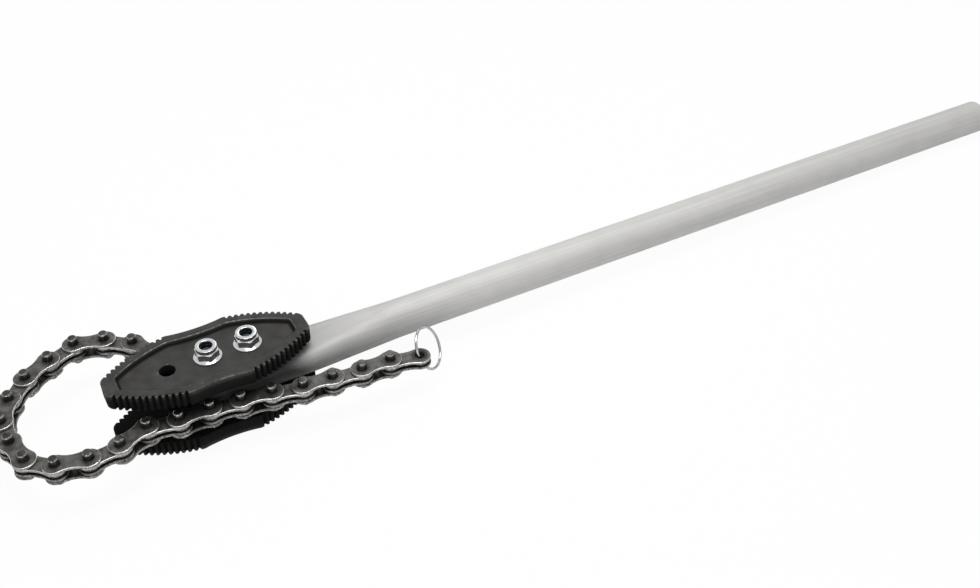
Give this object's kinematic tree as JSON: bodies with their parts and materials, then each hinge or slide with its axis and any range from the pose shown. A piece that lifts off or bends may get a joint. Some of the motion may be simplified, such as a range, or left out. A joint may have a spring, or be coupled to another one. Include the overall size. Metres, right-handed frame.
{
  "type": "chain pipe wrench",
  "caption": "Chain pipe wrench: toothed reversible jaws bolted to a flattened tube handle, with a long-pinned chain that wraps the pipe and ends in a wire ring.",
  "frame": {"origin": "middle of the free bolt hole at the front of the jaws, half way between the two jaws", "axes": "+X along the handle to its grip end, +Z along the bolts towards the nuts, +Y to the side where the chain leaves the jaws"},
  "size_m": [1.0398, 0.1721, 0.078],
  "materials": {
    "handle": "satin silver-grey",
    "sleeve": "plain",
    "jaw": "blackened forging, satin",
    "zinc": "bright zinc",
    "insert": "matte",
    "chain_plate": "dark, oiled",
    "chain_bush": "dark, oiled",
    "chain_pin": "dark, oiled"
  },
  "bodies": {
    "head_and_handle": {"handle_tube": "handle", "spacer_sleeves": "sleeve", "upper_jaw": "jaw", "lower_jaw": "jaw", "centre_bolt": "zinc", "rear_bolt": "zinc", "centre_nut": "zinc", "rear_nut": "zinc", "lock_inserts": "insert"},
    "shackle": {"shackle_cheeks": "chain_plate", "shackle_pin": "chain_pin"},
    "link_01": {"link_01_plates": "chain_plate", "link_01_bushes": "chain_bush"},
    "link_02": {"link_02_plates": "chain_plate", "link_02_pins": "chain_pin"},
    "link_03": {"link_03_plates": "chain_plate", "link_03_bushes": "chain_bush"},
    "link_04": {"link_04_plates": "chain_plate", "link_04_pins": "chain_pin"},
    "link_05": {"link_05_plates": "chain_plate", "link_05_bushes": "chain_bush"},
    "link_06": {"link_06_plates": "chain_plate", "link_06_pins": "chain_pin"},
    "link_07": {"link_07_plates": "chain_plate", "link_07_bushes": "chain_bush"},
    "link_08": {"link_08_plates": "chain_plate", "link_08_pins": "chain_pin"},
    "link_09": {"link_09_plates": "chain_plate", "link_09_bushes": "chain_bush"},
    "link_10": {"link_10_plates": "chain_plate", "link_10_pins": "chain_pin"},
    "link_11": {"link_11_plates": "chain_plate", "link_11_bushes": "chain_bush"},
    "link_12": {"link_12_plates": "chain_plate", "link_12_pins": "chain_pin"},
    "link_13": {"link_13_plates": "chain_plate", "link_13_bushes": "chain_bush"},
    "link_14": {"link_14_plates": "chain_plate", "link_14_pins": "chain_pin"},
    "link_15": {"link_15_plates": "chain_plate", "link_15_bushes": "chain_bush"},
    "link_16": {"link_16_plates": "chain_plate", "link_16_pins": "chain_pin"},
    "link_17": {"link_17_plates": "chain_plate", "link_17_bushes": "chain_bush"},
    "link_18": {"link_18_plates": "chain_plate", "link_18_pins": "chain_pin"},
    "link_19": {"link_19_plates": "chain_plate", "link_19_bushes": "chain_bush"},
    "link_20": {"link_20_plates": "chain_plate", "link_20_pins": "chain_pin"},
    "link_21": {"link_21_plates": "chain_plate", "link_21_bushes": "chain_bush"},
    "link_22": {"link_22_plates": "chain_plate", "link_22_pins": "chain_pin"},
    "link_23": {"link_23_plates": "chain_plate", "link_23_bushes": "chain_bush"},
    "ring": {"end_ring": "zinc"}
  },
  "joints": [
    {"name": "shackle_swing", "type": "hinge", "parent": "head_and_handle", "child": "shackle", "pos_m": [0.034, 0, 0], "axis": [0, 0, 1], "range_deg": [-43, 3]},
    {"name": "link_01_hinge", "type": "hinge", "parent": "shackle", "child": "link_01", "pos_m": [0.00595, 0.02709, 0], "axis": [0, 0, -1], "range_deg": [-2.5, 50]},
    {"name": "link_02_hinge", "type": "hinge", "parent": "link_01", "child": "link_02", "pos_m": [0.00023, 0.05184, 0], "axis": [0, 0, 1], "range_deg": [-50, 1.5]},
    {"name": "link_03_hinge", "type": "hinge", "parent": "link_02", "child": "link_03", "pos_m": [-0.01208, 0.07406, 0], "axis": [0, 0, -1], "range_deg": [-1, 50]},
    {"name": "link_04_hinge", "type": "hinge", "parent": "link_03", "child": "link_04", "pos_m": [-0.03237, 0.08934, 0], "axis": [0, 0, 1], "range_deg": [-50, 1]},
    {"name": "link_05_hinge", "type": "hinge", "parent": "link_04", "child": "link_05", "pos_m": [-0.0569, 0.09592, 0], "axis": [0, 0, -1], "range_deg": [-0.5, 50]},
    {"name": "link_06_hinge", "type": "hinge", "parent": "link_05", "child": "link_06", "pos_m": [-0.08045, 0.0864, 0], "axis": [0, 0, 1], "range_deg": [-50, 0.5]},
    {"name": "link_07_hinge", "type": "hinge", "parent": "link_06", "child": "link_07", "pos_m": [-0.10222, 0.07332, 0], "axis": [0, 0, -1], "range_deg": [-0.5, 50]},
    {"name": "link_08_hinge", "type": "hinge", "parent": "link_07", "child": "link_08", "pos_m": [-0.11922, 0.05444, 0], "axis": [0, 0, 1], "range_deg": [-50, 0.5]},
    {"name": "link_09_hinge", "type": "hinge", "parent": "link_08", "child": "link_09", "pos_m": [-0.12995, 0.03142, 0], "axis": [0, 0, -1], "range_deg": [-0.5, 50]},
    {"name": "link_10_hinge", "type": "hinge", "parent": "link_09", "child": "link_10", "pos_m": [-0.12863, 0.00606, 0], "axis": [0, 0, 1], "range_deg": [-50, 0.5]},
    {"name": "link_11_hinge", "type": "hinge", "parent": "link_10", "child": "link_11", "pos_m": [-0.12248, -0.01859, 0], "axis": [0, 0, -1], "range_deg": [-0.5, 50]},
    {"name": "link_12_hinge", "type": "hinge", "parent": "link_11", "child": "link_12", "pos_m": [-0.10302, -0.03491, 0], "axis": [0, 0, 1], "range_deg": [-50, 0.5]},
    {"name": "link_13_hinge", "type": "hinge", "parent": "link_12", "child": "link_13", "pos_m": [-0.07838, -0.04106, 0], "axis": [0, 0, -1], "range_deg": [-1, 50]},
    {"name": "link_14_hinge", "type": "hinge", "parent": "link_13", "child": "link_14", "pos_m": [-0.05312, -0.0384, 0], "axis": [0, 0, 1], "range_deg": [-50, 1]},
    {"name": "link_15_hinge", "type": "hinge", "parent": "link_14", "child": "link_15", "pos_m": [-0.0294, -0.0293, 0], "axis": [0, 0, -1], "range_deg": [-1.5, 50]},
    {"name": "link_16_hinge", "type": "hinge", "parent": "link_15", "child": "link_16", "pos_m": [-0.00432, -0.03327, 0], "axis": [0, 0, 1], "range_deg": [-50, 2.5]},
    {"name": "link_17_hinge", "type": "hinge", "parent": "link_16", "child": "link_17", "pos_m": [0.02108, -0.03372, 0], "axis": [0, 0, -1], "range_deg": [-3, 50]},
    {"name": "link_18_hinge", "type": "hinge", "parent": "link_17", "child": "link_18", "pos_m": [0.04634, -0.03637, 0], "axis": [0, 0, 1], "range_deg": [-50, 3.5]},
    {"name": "link_19_hinge", "type": "hinge", "parent": "link_18", "child": "link_19", "pos_m": [0.07149, -0.03991, 0], "axis": [0, 0, -1], "range_deg": [-4, 50]},
    {"name": "link_20_hinge", "type": "hinge", "parent": "link_19", "child": "link_20", "pos_m": [0.09624, -0.04562, 0], "axis": [0, 0, 1], "range_deg": [-50, 5]},
    {"name": "link_21_hinge", "type": "hinge", "parent": "link_20", "child": "link_21", "pos_m": [0.12155, -0.04784, 0], "axis": [0, 0, -1], "range_deg": [-6.5, 50]},
    {"name": "link_22_hinge", "type": "hinge", "parent": "link_21", "child": "link_22", "pos_m": [0.14681, -0.05049, 0], "axis": [0, 0, 1], "range_deg": [-50, 8.5]},
    {"name": "link_23_hinge", "type": "hinge", "parent": "link_22", "child": "link_23", "pos_m": [0.17219, -0.05138, 0], "axis": [0, 0, -1], "range_deg": [-14, 50]},
    {"name": "ring_swing", "type": "hinge", "parent": "link_23", "child": "ring", "pos_m": [0.19694, -0.05709, 0], "axis": [0, 0, 1], "range_deg": [-100, 20]}
  ]
}
